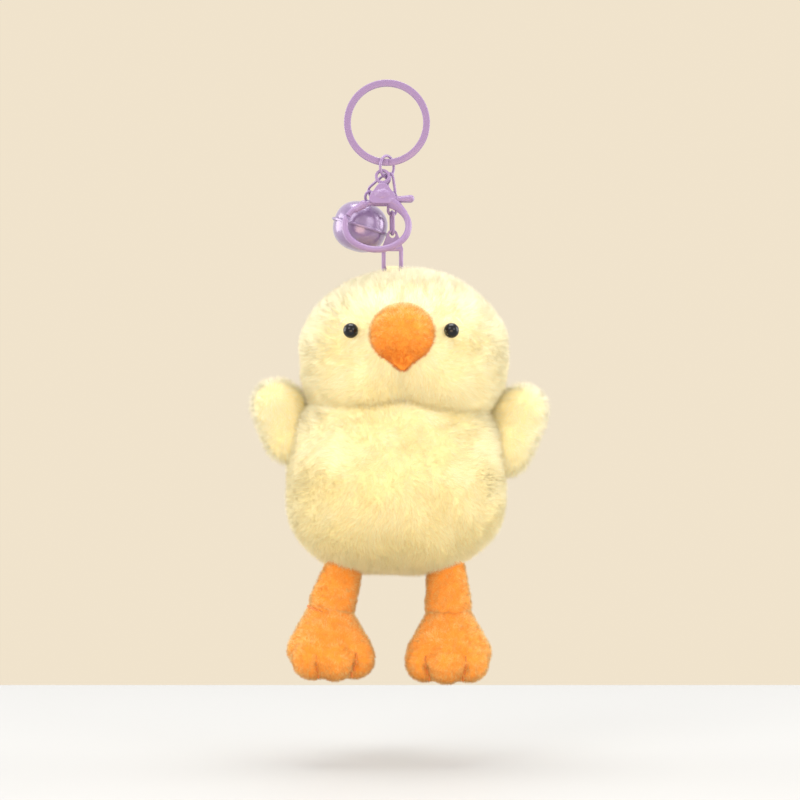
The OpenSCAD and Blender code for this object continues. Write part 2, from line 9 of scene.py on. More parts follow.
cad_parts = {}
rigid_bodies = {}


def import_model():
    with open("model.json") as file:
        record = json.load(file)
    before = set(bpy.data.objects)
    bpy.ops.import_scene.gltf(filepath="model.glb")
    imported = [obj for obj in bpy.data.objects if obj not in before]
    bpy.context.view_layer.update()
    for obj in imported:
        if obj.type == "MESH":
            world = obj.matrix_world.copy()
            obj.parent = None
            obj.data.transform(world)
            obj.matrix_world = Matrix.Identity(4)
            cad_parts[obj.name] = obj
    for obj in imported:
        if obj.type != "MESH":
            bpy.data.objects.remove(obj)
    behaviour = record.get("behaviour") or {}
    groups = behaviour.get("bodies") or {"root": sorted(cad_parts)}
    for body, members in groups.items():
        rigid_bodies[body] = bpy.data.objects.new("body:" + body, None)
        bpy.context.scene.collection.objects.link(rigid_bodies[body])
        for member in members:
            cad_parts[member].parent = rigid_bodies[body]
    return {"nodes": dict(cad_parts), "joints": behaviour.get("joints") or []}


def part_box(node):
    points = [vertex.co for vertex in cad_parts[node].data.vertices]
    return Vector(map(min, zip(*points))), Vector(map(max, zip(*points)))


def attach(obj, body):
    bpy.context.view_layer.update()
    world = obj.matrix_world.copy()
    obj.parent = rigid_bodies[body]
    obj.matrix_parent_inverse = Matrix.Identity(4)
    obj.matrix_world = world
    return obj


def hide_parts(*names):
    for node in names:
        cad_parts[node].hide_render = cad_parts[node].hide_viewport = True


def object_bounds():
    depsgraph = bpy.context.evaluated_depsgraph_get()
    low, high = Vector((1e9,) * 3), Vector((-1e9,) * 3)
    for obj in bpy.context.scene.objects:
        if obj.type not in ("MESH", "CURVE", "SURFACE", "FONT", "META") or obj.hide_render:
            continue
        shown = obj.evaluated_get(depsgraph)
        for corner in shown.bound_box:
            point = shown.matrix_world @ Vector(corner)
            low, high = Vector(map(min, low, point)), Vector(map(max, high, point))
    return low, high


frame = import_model()
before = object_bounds()
scene = bpy.context.scene
MM = 0.001


def centre(node):
    lo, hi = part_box(node)
    return np.array((lo + hi) / 2) / MM


def low(node):
    return np.array(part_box(node)[0]) / MM


def high(node):
    return np.array(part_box(node)[1]) / MM


# ---------- materials ----------

def material(name, colour, rough=0.5, bump=0.0, grain=400.0, deep=0.1, **more):
    mat = bpy.data.materials.new(name)
    mat.use_nodes = True
    nodes, links = mat.node_tree.nodes, mat.node_tree.links
    bsdf = nodes["Principled BSDF"]
    bsdf.inputs["Base Color"].default_value = (*colour, 1)
    bsdf.inputs["Roughness"].default_value = rough
    for key, value in more.items():
        bsdf.inputs[key.replace("_", " ")].default_value = value
    if bump:
        coords = nodes.new("ShaderNodeTexCoord")
        noise = nodes.new("ShaderNodeTexNoise")
        noise.inputs["Scale"].default_value = grain
        noise.inputs["Detail"].default_value = 4
        height = nodes.new("ShaderNodeBump")
        height.inputs["Strength"].default_value = bump
        height.inputs["Distance"].default_value = deep * MM
        links.new(coords.outputs["Object"], noise.inputs["Vector"])
        links.new(noise.outputs["Fac"], height.inputs["Height"])
        links.new(height.outputs["Normal"], bsdf.inputs["Normal"])
    return mat


def both_sides(mat):
    """Lights a fibre's back as its front, by the skin's outward normal."""
    nodes, links = mat.node_tree.nodes, mat.node_tree.links
    place = nodes.new("ShaderNodeNewGeometry")
    sign = nodes.new("ShaderNodeMath")
    sign.operation = "MULTIPLY_ADD"
    sign.inputs[1].default_value = -2
    sign.inputs[2].default_value = 1
    turn = nodes.new("ShaderNodeVectorMath")
    turn.operation = "SCALE"
    links.new(place.outputs["Backfacing"], sign.inputs[0])
    links.new(place.outputs["Normal"], turn.inputs[0])
    links.new(sign.outputs["Value"], turn.inputs["Scale"])
    links.new(turn.outputs["Vector"], nodes["Principled BSDF"].inputs["Normal"])
    return mat


lacquer = material("lavender_lacquer", (0.285, 0.185, 0.37), 0.38, 0.05, 150, 0.01,
                   Coat_Weight=0.3, Coat_Roughness=0.2)
bell_lacquer = material("bell_lacquer", (0.25, 0.175, 0.33), 0.3, 0.05, 150, 0.01,
                        Metallic=0.3, Coat_Weight=0.7, Coat_Roughness=0.1)
steel = material("plain_steel", (0.6, 0.6, 0.62), 0.3, 0.05, 500, Metallic=1.0)
bead = material("black_bead", (0.004, 0.004, 0.006), 0.12, 0.01, 80, Specular_IOR_Level=0.35)
washer = material("washer_plastic", (0.8, 0.8, 0.78), 0.5, 0.05, 300)
fibre = material("loose_fibre", (0.9, 0.9, 0.86), 0.9, 0.8, 900)
ribbon = material("woven_ribbon", (0.92, 0.82, 0.5), 0.7, 0.5, 2500)
thread_yellow = material("yellow_thread", (0.8, 0.6, 0.25), 0.6, 0.5, 3000)
thread_orange = material("orange_thread", (0.62, 0.17, 0.02), 0.6, 0.5, 3000)

# A little emission stands for the light that scatters on from fibre to fibre
yellow = [material("yellow_cloth", (0.95, 0.84, 0.46), 0.9, 0.4, 1200, Emission_Color=(1, 0.78, 0.30, 1),
                   Emission_Strength=0.12)] + [
    both_sides(material(f"yellow_pile_{k}", colour, 0.8, Sheen_Weight=0.6, Sheen_Roughness=0.45,
                        Sheen_Tint=(1, 0.94, 0.68, 1), Specular_IOR_Level=0.2,
                        Emission_Color=(1, 0.80, 0.36, 1), Emission_Strength=0.16))
    for k, colour in enumerate([(0.95, 0.91, 0.71), (0.91, 0.85, 0.58),
                                (0.87, 0.77, 0.45), (0.81, 0.66, 0.30)])
]
# Emission on the orange pile is painted light too: a glow standing for light scattered from fibre to
# fibre.
orange = [material("orange_cloth", (0.88, 0.30, 0.03), 0.9, 0.4, 1500)] + [
    both_sides(material(f"orange_pile_{k}", colour, 0.8, Sheen_Weight=0.5, Sheen_Roughness=0.45,
                        Sheen_Tint=(1, 0.72, 0.4, 1), Specular_IOR_Level=0.2,
                        Emission_Color=(1, 0.36, 0.05, 1), Emission_Strength=0.07))
    for k, colour in enumerate([(0.95, 0.66, 0.30), (0.91, 0.51, 0.16),
                                (0.87, 0.35, 0.07), (0.79, 0.16, 0.01)])
]


# ---------- meshes ----------

def mesh_object(name, verts, faces, mat, smooth=True):
    mesh = bpy.data.meshes.new(name)
    mesh.from_pydata([tuple(v) for v in np.asarray(verts, float) * MM], [], faces)
    mesh.update()
    obj = bpy.data.objects.new(name, mesh)
    scene.collection.objects.link(obj)
    mesh.materials.append(mat)
    for p in mesh.polygons:
        p.use_smooth = smooth
    return obj


def coords_of(mesh):
    co = np.zeros(len(mesh.vertices) * 3, np.float32)
    mesh.vertices.foreach_get("co", co)
    return co.reshape(-1, 3).astype(float)


def set_coords(mesh, co):
    mesh.vertices.foreach_set("co", co.astype(np.float32).ravel())
    mesh.update()


def baked(obj):
    """Gives obj the mesh that its modifiers make."""
    depsgraph = bpy.context.evaluated_depsgraph_get()
    mesh = bpy.data.meshes.new_from_object(obj.evaluated_get(depsgraph))
    obj.modifiers.clear()
    obj.data = mesh
    for p in mesh.polygons:
        p.use_smooth = True
    return obj


def remeshed(obj, voxel, smooth):
    """Turns obj into one even skin."""
    m = obj.modifiers.new("skin", "REMESH")
    m.mode = "VOXEL"
    m.voxel_size = voxel * MM
    s = obj.modifiers.new("ease", "SMOOTH")
    s.factor = 0.5
    s.iterations = smooth
    return baked(obj)


def ball_mesh(level):
    bm = bmesh.new()
    bmesh.ops.create_icosphere(bm, subdivisions=level, radius=1)
    verts = np.array([v.co[:] for v in bm.verts])
    faces = [[v.index for v in f.verts] for f in bm.faces]
    bm.free()
    return verts, faces


def blob(name, balls, mat, voxel=0.9, smooth=6):
    """One skin round a run of balls: (centre, radius or three radii)."""
    unit, tri = ball_mesh(3)
    verts, faces = [], []
    for c, r in balls:
        faces += [[i + len(verts) * len(unit) for i in f] for f in tri]
        verts.append(unit * r + np.array(c))
    return remeshed(mesh_object(name, np.concatenate(verts), faces, mat), voxel, smooth)


def run(a, b, ra, rb, count=9):
    """Balls from a to b."""
    a, b = np.array(a, float), np.array(b, float)
    return [(a + (b - a) * t, ra + (rb - ra) * t) for t in np.linspace(0, 1, count)]


def lathe(name, profile, mat, steps=128):
    """Turns a closed profile (pairs of radius and height) round Z."""
    verts, faces = [], []
    n = len(profile)
    for i in range(steps):
        a = 2 * math.pi * i / steps
        verts += [(r * math.cos(a), r * math.sin(a), z) for r, z in profile]
    for i in range(steps):
        for j in range(n):
            k, l = (i + 1) % steps, (j + 1) % n
            faces.append([i * n + j, k * n + j, k * n + l, i * n + l])
    return mesh_object(name, verts, faces, mat)


def sweep(name, path, profile, mat, closed=False, up=None):
    """Moves a closed profile (pairs across and along up) along a path."""
    path = np.asarray(path, float)
    tangent = np.gradient(path, axis=0)
    if closed:
        tangent = np.roll(path, -1, 0) - np.roll(path, 1, 0)
    tangent /= np.linalg.norm(tangent, axis=1)[:, None]
    across = np.cross(tangent, np.array(up, float))
    across /= np.linalg.norm(across, axis=1)[:, None]
    lift = np.cross(across, tangent)
    n = len(profile)
    verts = np.array([p + u * a + w * b for p, a, b in zip(path, across, lift) for u, w in profile])
    rows = len(path)
    faces = []
    for i in range(rows if closed else rows - 1):
        k = (i + 1) % rows
        for j in range(n):
            l = (j + 1) % n
            faces.append([i * n + j, i * n + l, k * n + l, k * n + j])
    if not closed:
        faces.append(list(range(n))[::-1])
        faces.append([(rows - 1) * n + j for j in range(n)])
    return mesh_object(name, verts, faces, mat)


def round_profile(r, count=20):
    return [(r * math.cos(2 * math.pi * k / count), r * math.sin(2 * math.pi * k / count))
            for k in range(count)]


def finish_piece(obj, body, nodes):
    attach(obj, body)
    if nodes:
        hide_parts(*nodes)
    return obj


def ripple(p, size, seed, count=7):
    """A smooth random field, about -1 to 1, over points in millimetres."""
    gen = np.random.default_rng(seed)
    total = np.zeros(len(p))
    for _ in range(count):
        d = gen.normal(size=3)
        d /= np.linalg.norm(d)
        wave = size * gen.uniform(0.7, 1.5)
        total += np.sin(p @ d * 2 * math.pi / wave + gen.uniform(0, 6.283))
    return total / math.sqrt(count)


# ---------- soft pieces ----------

CLOTH_SCALE = 10  # the cloth solver works badly on pieces of a few centimetres
CLOTH_FRAMES = 20
PRESSURE = 4.0


def inflate(obj, pinned, cap):
    """Blows a sewn skin up like cloth. pinned marks its seams; no point moves more than cap mm."""
    mesh = obj.data
    rest = coords_of(mesh)
    set_coords(mesh, rest * CLOTH_SCALE)
    group = obj.vertex_groups.new(name="seam")
    group.add([int(i) for i in np.nonzero(pinned)[0]], 1.0, "REPLACE")
    cloth = obj.modifiers.new("cloth", "CLOTH")
    s = cloth.settings
    s.quality = 4
    s.mass = 0.3
    s.tension_stiffness = 12
    s.compression_stiffness = 12
    s.shear_stiffness = 5
    s.bending_stiffness = 0.5
    s.vertex_group_mass = "seam"
    s.use_pressure = True
    s.uniform_pressure_force = PRESSURE
    s.effector_weights.gravity = 0
    cloth.collision_settings.use_collision = False
    cloth.point_cache.frame_start = 1
    cloth.point_cache.frame_end = CLOTH_FRAMES
    for f in range(1, CLOTH_FRAMES + 1):
        scene.frame_set(f)
    moved = coords_of(obj.evaluated_get(bpy.context.evaluated_depsgraph_get()).data) / CLOTH_SCALE
    obj.modifiers.clear()
    obj.vertex_groups.clear()
    scene.frame_set(1)
    step = moved - rest
    size = np.linalg.norm(step, axis=1)[:, None]
    step *= np.minimum(1, cap * MM / np.maximum(size, 1e-9))
    set_coords(mesh, rest + step)
    return obj


def pile(name, skin, body, mats, per_mm2, length, width, lean, comb, seed,
         keep=None, clump=0.15, clump_size=5.0, normal_mix=1.1, level=lambda p: 1.5):
    """Short fibres standing on a skin, one face each, shaded with the skin's own normals."""
    gen = np.random.default_rng(seed)
    mesh = skin.data
    mesh.calc_loop_triangles()
    co = coords_of(mesh) / MM
    vn = np.zeros(len(mesh.vertices) * 3, np.float32)
    mesh.vertex_normals.foreach_get("vector", vn)
    vn = vn.reshape(-1, 3).astype(float)
    tri = np.zeros(len(mesh.loop_triangles) * 3, np.int32)
    mesh.loop_triangles.foreach_get("vertices", tri)
    tri = tri.reshape(-1, 3)
    a, b, c = co[tri[:, 0]], co[tri[:, 1]], co[tri[:, 2]]
    area = np.linalg.norm(np.cross(b - a, c - a), axis=1) / 2
    count = int(area.sum() * per_mm2 * (1))
    pick = gen.choice(len(tri), count, p=area / area.sum())
    u, v = gen.random(count), gen.random(count)
    flip = u + v > 1
    u[flip], v[flip] = 1 - u[flip], 1 - v[flip]
    w = (1 - u - v)[:, None]
    u, v = u[:, None], v[:, None]
    root = a[pick] * w + b[pick] * u + c[pick] * v
    n = vn[tri[pick, 0]] * w + vn[tri[pick, 1]] * u + vn[tri[pick, 2]] * v
    n /= np.linalg.norm(n, axis=1)[:, None]
    if keep is not None:
        ok = keep(root)
        root, n = root[ok], n[ok]
    count = len(root)

    tangent = comb(root, n)
    tuft = np.stack([ripple(root, clump_size, seed + k, 5) for k in (1, 2, 3)], 1)
    tangent = tangent + tuft * clump + gen.normal(size=(count, 3)) * 0.3
    tangent -= n * np.sum(tangent * n, axis=1)[:, None]
    lean_here = np.tan(math.radians(lean)) * (1 + 0.15 * ripple(root, 9.0, seed + 5))[:, None]
    heading = n + tangent * lean_here
    heading /= np.linalg.norm(heading, axis=1)[:, None]
    size = length * gen.uniform(0.75, 1.08, count)[:, None]
    tip = root + size * heading
    side = np.cross(heading, n)
    loose = gen.normal(size=(count, 3))
    side += loose * 0.05
    side -= heading * np.sum(side * heading, axis=1)[:, None]
    side /= np.linalg.norm(side, axis=1)[:, None]
    roll = gen.normal(size=count)[:, None] * 0.45
    side = side * np.cos(roll) + np.cross(heading, side) * np.sin(roll)
    face_normal = np.cross(side, heading)
    side *= np.where(np.sum(face_normal * n, axis=1) < 0, -1, 1)[:, None]
    half = width / 2 * gen.uniform(0.75, 1.25, count)[:, None]
    foot = root - n * 0.25
    verts = np.stack([foot - side * half, foot + side * half, tip], 1)
    fine = n * normal_mix + heading * 0.25 + loose * 0.19
    fine /= np.linalg.norm(fine, axis=1)[:, None]
    normals = np.repeat(fine[:, None, :], 3, axis=1).reshape(-1, 3)

    out = bpy.data.meshes.new(name)
    out.vertices.add(3 * count)
    out.vertices.foreach_set("co", (verts.reshape(-1, 3) * MM).astype(np.float32).ravel())
    out.loops.add(3 * count)
    out.loops.foreach_set("vertex_index", np.arange(3 * count, dtype=np.int32))
    out.polygons.add(count)
    out.polygons.foreach_set("loop_start", np.arange(0, 3 * count, 3, dtype=np.int32))
    out.update(calc_edges=True)
    # Tone: random variation plus level(root), the painted shade by height that the caller gives.
    tone = 0.5 + level(root) + 0.2 * ripple(root, 11.0, seed + 9) + gen.normal(size=count) * 0.65
    out.polygons.foreach_set("material_index", np.clip(tone, 0, 3.99).astype(np.int32))
    out.polygons.foreach_set("use_smooth", np.ones(count, bool))
    for m in mats[1:]:
        out.materials.append(m)
    out.normals_split_custom_set_from_vertices(normals.astype(np.float32).tolist())
    obj = bpy.data.objects.new(name, out)
    scene.collection.objects.link(obj)
    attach(obj, body)
    return obj


def lobe_skin(name, c, r, up, low_, n_up, n_low, extra, mat):
    """A stuffed lobe round c: r wide, up and low_ high, squarer with a larger n."""
    d, faces = ball_mesh(5)
    flat = np.hypot(d[:, 0], d[:, 1])
    n = np.where(d[:, 2] > 0, n_up, n_low)
    h = np.where(d[:, 2] > 0, up, low_)
    t = ((flat / r) ** n + (np.abs(d[:, 2]) / h) ** n) ** (-1 / n)
    p = d * t[:, None]
    p = p + d * extra(p)[:, None]
    return mesh_object(name, p + c, faces, mat)


def bump_at(p, spot, size):
    return np.exp(-np.sum(((p - np.array(spot)) / np.array(size)) ** 2, axis=1))


def downward(strength, swirl, seed):
    def field(p, n):
        t = np.zeros_like(p)
        t[:, 2] = -strength
        t[:, 0] = swirl * ripple(p, 22.0, seed)
        t[:, 2] += swirl * ripple(p, 18.0, seed + 1)
        return t
    return field


head_lo, head_hi = low("head_cover"), high("head_cover")
body_lo, body_hi = low("body_cover"), high("body_cover")
head_mid = centre("head_cover")
body_mid = centre("body_cover")
neck = (head_lo[2] + body_hi[2]) / 2
head_r = (head_hi[0] - head_lo[0]) / 2
body_r = (body_hi[0] - body_lo[0]) / 2
# From the widest level to the head's top and to the body's bottom
HEAD_UP, BODY_DOWN = 25.9, 26.9
head_c = np.array([head_mid[0], head_mid[1], head_hi[2] - HEAD_UP])
body_c = np.array([body_mid[0], body_mid[1], body_lo[2] + BODY_DOWN])
eye_l, eye_r = (np.array([centre(n)[0], low(n)[1] + 2.3, centre(n)[2] - 0.9])
                for n in ("eye_left", "eye_right"))
beak_x = centre("beak_cover")[0]
beak_c = np.array([beak_x, head_c[1] - 31.0, high("beak_cover")[2] - 12.2])


def head_extra(p):
    q = p + head_c
    e = 0.45 * ripple(q, 30, 3) + 0.25 * ripple(q, 13, 4)
    x = beak_x - head_c[0]
    front = -head_r * 0.86
    e += 1.8 * bump_at(p, (x - 14, front, -13), (9, 12, 7))
    e += 1.8 * bump_at(p, (x + 14, front, -13), (9, 12, 7))
    e -= 1.6 * bump_at(p, (x, -head_r, -13), (4.5, 14, 7))
    e -= 3.0 * bump_at(p, (x, -head_r * 0.8, -22), (9, 16, 5))
    for eye in (eye_l, eye_r):
        e -= 1.0 * bump_at(q, eye, (4.5, 5, 4.5))
    return e


def body_extra(p):
    q = p + body_c
    e = 0.55 * ripple(q, 32, 11) + 0.35 * ripple(q, 14, 12)
    e += 1.0 * bump_at(p, (0, -body_r, -4), (26, 20, 16))
    return e


# The lobes reach past the neck into each other by HEAD_TUCK and BODY_TUCK
HEAD_TUCK, BODY_TUCK = 5.6, 8
head = lobe_skin("head_skin", head_c, head_r, HEAD_UP, head_c[2] - neck + HEAD_TUCK, 1.82, 3.5,
                 head_extra, yellow[0])
body = lobe_skin("body_skin", body_c, body_r, neck - body_c[2] + BODY_TUCK, BODY_DOWN, 3.3, 2.5,
                 body_extra, yellow[0])
inflate(head, coords_of(head.data)[:, 2] / MM < neck + 3, cap=0.8)
inflate(body, coords_of(body.data)[:, 2] / MM > neck - 3, cap=0.8)
finish_piece(head, "head", ["head_cover"])
finish_piece(body, "body", ["body_cover"])


def head_keep(p):
    ok = np.ones(len(p), bool)
    for eye in (eye_l, eye_r):
        ok &= np.linalg.norm(p - eye, axis=1) > 2.4
    off = p - beak_c
    return ok & ~((np.hypot(off[:, 0], off[:, 2]) < 9.4) & (off[:, 1] < 12))


def head_comb(p, n):
    t = downward(0.35, 0.35, 20)(p, n)
    for eye in (eye_l, eye_r):
        away = p - eye
        near = np.exp(-np.sum((away / 3.4) ** 2, axis=1))
        t += away / (np.linalg.norm(away, axis=1)[:, None] + 0.1) * near[:, None] * 1.6
    away = p - beak_c
    far = np.linalg.norm(away[:, [0, 2]], axis=1)
    near = np.exp(-(np.maximum(far - 10, 0) / 6) ** 2) * (p[:, 1] < head_c[1] - 15)
    t += away / (far[:, None] + 0.1) * near[:, None] * 0.7
    return t


def painted_shade_by_height(top, bottom, a, b):
    """Painted shade: paler pile at height top, deeper at bottom, where less light falls; the tone level
    runs from a to b.
    """
    return lambda p: a + (b - a) * np.clip((top - p[:, 2]) / (top - bottom), 0, 1)


# Painted shade on the head and body pile: its tone deepens from the top downwards.
pile("head_pile", head, "head", yellow, 11, 3.1, 0.13, 44, head_comb, 31, keep=head_keep,
     level=painted_shade_by_height(head_hi[2], neck, 0.1, 2.0))
pile("body_pile", body, "body", yellow, 9.6, 3.1, 0.135, 45, downward(0.45, 0.5, 40), 41,
     level=painted_shade_by_height(neck, body_lo[2], 1.0, 2.9))


def wing(side):
    cover = f"wing_{side}_cover"
    lo, hi = low(cover), high(cover)
    s = -1 if side == "left" else 1
    y = (lo[1] + hi[1]) / 2
    tip_r, root_r = 8.0, 8.5
    out = lo[0] if s < 0 else hi[0]
    tip = np.array([out - s * tip_r, y, hi[2] - tip_r])
    slant = 5.0 if s < 0 else 5.8
    root = np.array([tip[0] - s * slant, y, lo[2] + root_r])
    balls = run(root, tip, np.array([root_r, root_r * 0.9, root_r]),
                np.array([tip_r + 0.3, tip_r * 0.92, tip_r]))
    balls += [(tip + np.array([-s * 2.0, 0, -0.6]), np.array([7.6, 6.8, 7.4]))]
    skin = blob(f"wing_{side}_skin", balls, yellow[0], 0.85, 5)
    co = coords_of(skin.data) / MM
    inner = (co[:, 0] - root[0]) * -s > root_r * 0.55
    inflate(skin, inner, cap=0.7)
    finish_piece(skin, f"wing_{side}", [cover])
    # Painted shade: the wing's pile deepens from its top to its bottom.
    pile(f"wing_{side}_pile", skin, f"wing_{side}", yellow, 10.5, 3.0, 0.13, 42,
         downward(0.5, 0.5, 50 + s), 60 + s, level=painted_shade_by_height(hi[2], lo[2], 0.1, 1.3))


wing("left")
wing("right")


def crushed(seed):
    """Short nap that lies in small level waves."""
    def field(p, n):
        t = np.zeros_like(p)
        q = p * np.array([0.45, 0.45, 1.0])
        t[:, 2] = -0.5 + 0.7 * ripple(q, 2.4, seed)
        t[:, 0] = 0.5 * ripple(p, 4.0, seed + 1)
        return t
    return field


def nap(name, skin, body_name, seed, light, deep, keep=None):
    co = coords_of(skin.data) / MM
    vn = np.array([v.normal[:] for v in skin.data.vertices])
    wave = ripple(co * np.array([0.45, 0.45, 1.0]), 2.6, seed + 3) * 0.05
    set_coords(skin.data, (co + vn * wave[:, None]) * MM)
    # Painted shade: the nap's tone runs from tone level light at its top to tone level deep at its
    # bottom; the ripple adds the nap's own waves.
    pile(name, skin, body_name, orange, 14, 1.1, 0.15, 40, crushed(seed), seed,
         keep=keep, clump=0.2, clump_size=1.8, normal_mix=0.9,
         level=lambda p: painted_shade_by_height(co[:, 2].max(), co[:, 2].min(), light, deep)(p)
         + 0.25 * ripple(p * np.array([0.4, 0.4, 1.0]), 1.6, seed + 4))


def leg(side):
    s = -1 if side == "left" else 1
    j = next(x for x in frame["joints"] if x["name"] == f"leg_{side}_swing")
    hip = np.array(j["pos_m"]) / MM
    ring = centre(f"ankle_thread_{side}")
    ankle = ring - np.array([0, 0, 0.2])
    line = (ankle - hip) / np.linalg.norm(ankle - hip)
    shin = blob(f"leg_{side}_skin", run(hip, ankle + line * -3.2, 6.5, 7.9, 12)
                + run(ankle - line * 3.2, ankle - line * 0.2, 7.9, 6.9, 4), orange[0], 0.8, 4)
    inflate(shin, coords_of(shin.data)[:, 2] / MM > hip[2] + 2, cap=0.5)
    finish_piece(shin, f"leg_{side}", [f"leg_{side}_cover"])
    # Painted shade: the leg's nap is deeper at its top, under the body.
    nap(f"leg_{side}_nap", shin, f"leg_{side}", 70 + s, 1.3, 0.6, keep=lambda p: p[:, 2] < hip[2] + 3)

    c = ankle + np.array([0, -4.6, -13.0])
    turn = math.radians(12 if s < 0 else -6)

    def toe(k):
        x, y, z = (0, -9.8, -3.8) if k == 0 else (k * 9.4, -7.2, -3.4)
        return c + np.array([x * math.cos(turn) - y * math.sin(turn),
                             x * math.sin(turn) + y * math.cos(turn), z])

    balls = run(ankle + line * 1.2, c + np.array([0, -2.6, 0.4]),
                np.array([7.7, 7.5, 7.0]), np.array([14.6, 9.2, 9.0]), 10)
    for k in (-1, 0, 1):
        balls += run(c, toe(k) + np.array([-k * 1.9, 0.9, 0.9]), 7.6, 6.9, 6)
    paw = blob(f"foot_{side}_skin", balls, orange[0], 0.8, 12)
    co = coords_of(paw.data) / MM
    vn = np.array([v.normal[:] for v in paw.data.vertices])
    notch = np.zeros(len(co))
    for k in (-0.5, 0.5):
        spot = (toe(0) + toe(2 * k)) / 2
        reach = spot - c
        along = np.clip((co - c) @ reach / (reach @ reach), 0.45, 2.0)
        gap = co - (c + along[:, None] * reach)
        gap[:, 2] = 0
        deep = np.clip((along - 0.45) / 0.8, 0, 1)
        notch += deep * np.exp(-np.sum((gap / 1.1) ** 2, axis=1))
    co = co - vn * (1.5 * notch)[:, None]
    set_coords(paw.data, co * MM)
    inflate(paw, (notch > 0.35) | (co[:, 2] > ankle[2] - 2), cap=0.6)
    finish_piece(paw, f"leg_{side}", [f"foot_{side}_cover", f"foot_{side}_stuffing"])
    # Painted shade: the foot's nap deepens towards its underside.
    nap(f"foot_{side}_nap", paw, f"leg_{side}", 80 + s, 0.2, 1.5)

    side_dir = np.cross(line, [0, 1, 0])
    side_dir /= np.linalg.norm(side_dir)
    front = np.cross(side_dir, line)
    loop = [ankle + line * 0.4 + 7.75 * (math.cos(a) * side_dir + math.sin(a) * front)
            for a in np.linspace(0, 2 * math.pi, 72, endpoint=False)]
    seam = sweep(f"ankle_seam_{side}", loop, round_profile(0.42, 10), thread_orange, True, line)
    finish_piece(seam, f"leg_{side}", [f"ankle_thread_{side}"])
    rows = []
    for k in (-1, 1):
        spot = (toe(0) + toe(k)) / 2
        out = (spot - c) * np.array([1, 1, 0])
        out /= np.linalg.norm(out)
        for i in range(4):
            z = spot[2] + 3.4 - i * 2.3
            p = spot + out * (4.6 - 0.28 * i * i)
            rows += run((p[0], p[1], z), (p[0] + out[0] * 0.3, p[1] + out[1] * 0.3, z - 1.5),
                        0.34, 0.34, 5)
    stitch = blob(f"toe_seam_{side}", rows, thread_orange, 0.16, 2)
    finish_piece(stitch, f"leg_{side}", [f"toe_stitches_{side}"])


leg("left")
leg("right")

# Beak: a ball with a small tip that points forward and down
dip = math.radians(64)
ahead = np.array([0, -math.cos(dip), -math.sin(dip)])
beak_balls = [(beak_c, np.array([11.2, 10.6, 10.5]))]
beak_balls += run(beak_c + ahead * 7.4, beak_c + ahead * 12.2, 4.7, 1.5, 10)
beak = blob("beak_skin", beak_balls, orange[0], 0.8, 5)
inflate(beak, coords_of(beak.data)[:, 1] / MM > beak_c[1] + 2, cap=0.4)
finish_piece(beak, "head", ["beak_cover", "beak_stuffing"])
# Painted shade: the beak's nap deepens strongly towards its underside.
nap("beak_nap", beak, "head", 90, 0.3, 3.6, keep=lambda p: p[:, 1] < beak_c[1] + 6)

# Eyes
for side, eye in (("left", eye_l), ("right", eye_r)):
    unit, tri = ball_mesh(4)
    e = mesh_object(f"eye_bead_{side}", unit * 2.6 + eye + np.array([0, -0.7, 0]), tri, bead)
    finish_piece(e, "head", [f"eye_{side}"])


# ---------- hardware ----------

def cast(node, body_name, voxel, smooth, mat, swell=()):
    """A lacquered casting: the CAD piece with softened edges, and balls where it thickens."""
    source = frame["nodes"][node]
    verts = coords_of(source.data) / MM
    faces = [list(f.vertices) for f in source.data.polygons]
    unit, tri = ball_mesh(2)
    for c, r in swell:
        faces += [[i + len(verts) for i in f] for f in tri]
        verts = np.concatenate([verts, unit * r + c])
    obj = remeshed(mesh_object(f"{node}_cast", verts, faces, mat), voxel, smooth)
    return finish_piece(obj, body_name, [node])


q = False
j_gate = next(x for x in frame["joints"] if x["name"] == "gate_open")
pivot = np.array(j_gate["pos_m"]) / MM
facing = np.array(j_gate["axis"])
CLASP_DOWN = np.cross(facing, (1, 0, 0))
CLASP_DOWN *= -np.sign(CLASP_DOWN[2])


def on_clasp(x, d):
    return pivot + np.array([x, 0, 0]) + CLASP_DOWN * d


shoulder = (run(on_clasp(3.0, 0.9), on_clasp(5.0, 2.5), 2.0, 1.7, 6)
            + run(on_clasp(5.0, 2.5), on_clasp(7.4, 5.0), 1.7, 1.15, 8))
brow = [(on_clasp(-0.2, -1.0), np.array([4.7, 2.15, 3.2]))]
cast("clasp_frame", "clasp", 0.2 if q else 0.13, 5, lacquer, shoulder + brow)
cast("clasp_gate", "gate", 0.2 if q else 0.12, 4, lacquer,
     run(on_clasp(-6.8, 1.9), on_clasp(-9.3, 3.7), 1.6, 1.1, 8)
     + run(on_clasp(5.2, 0), on_clasp(9.6, -0.3), 1.15, 1.35, 8))
cast("bail", "bail", 0.2 if q else 0.12, 4, lacquer)

ring_lo, ring_hi = low("split_ring"), high("split_ring")
ring_c = (ring_lo + ring_hi) / 2
ring_r = (ring_hi[0] - ring_lo[0]) / 2
wire_w, wire_t, pitch = 2.4, 1.05, 1.17
path = []
for a in np.linspace(-390, 272, 500):
    if a < -88:
        y = pitch / 2
    elif a > -30:
        y = -pitch / 2
    else:
        y = pitch / 2 * math.cos(math.pi * (a + 88) / 58)
    t = math.radians(a)
    path.append((ring_c[0] + (ring_r - wire_w / 2) * math.cos(t), ring_c[1] + y,
                 ring_c[2] + (ring_r - wire_w / 2) * math.sin(t)))
corner = 0.34
profile = []
for sx, sy, a0 in ((1, 1, 0), (-1, 1, 90), (-1, -1, 180), (1, -1, 270)):
    for k in range(5):
        a = math.radians(a0 + k * 22.5)
        profile.append((sx * (wire_w / 2 - corner) + corner * math.cos(a),
                        sy * (wire_t / 2 - corner) + corner * math.sin(a)))
ring = sweep("split_ring_wire", path, profile, lacquer, False, (0, 1, 0))
finish_piece(ring, "ring", ["split_ring"])

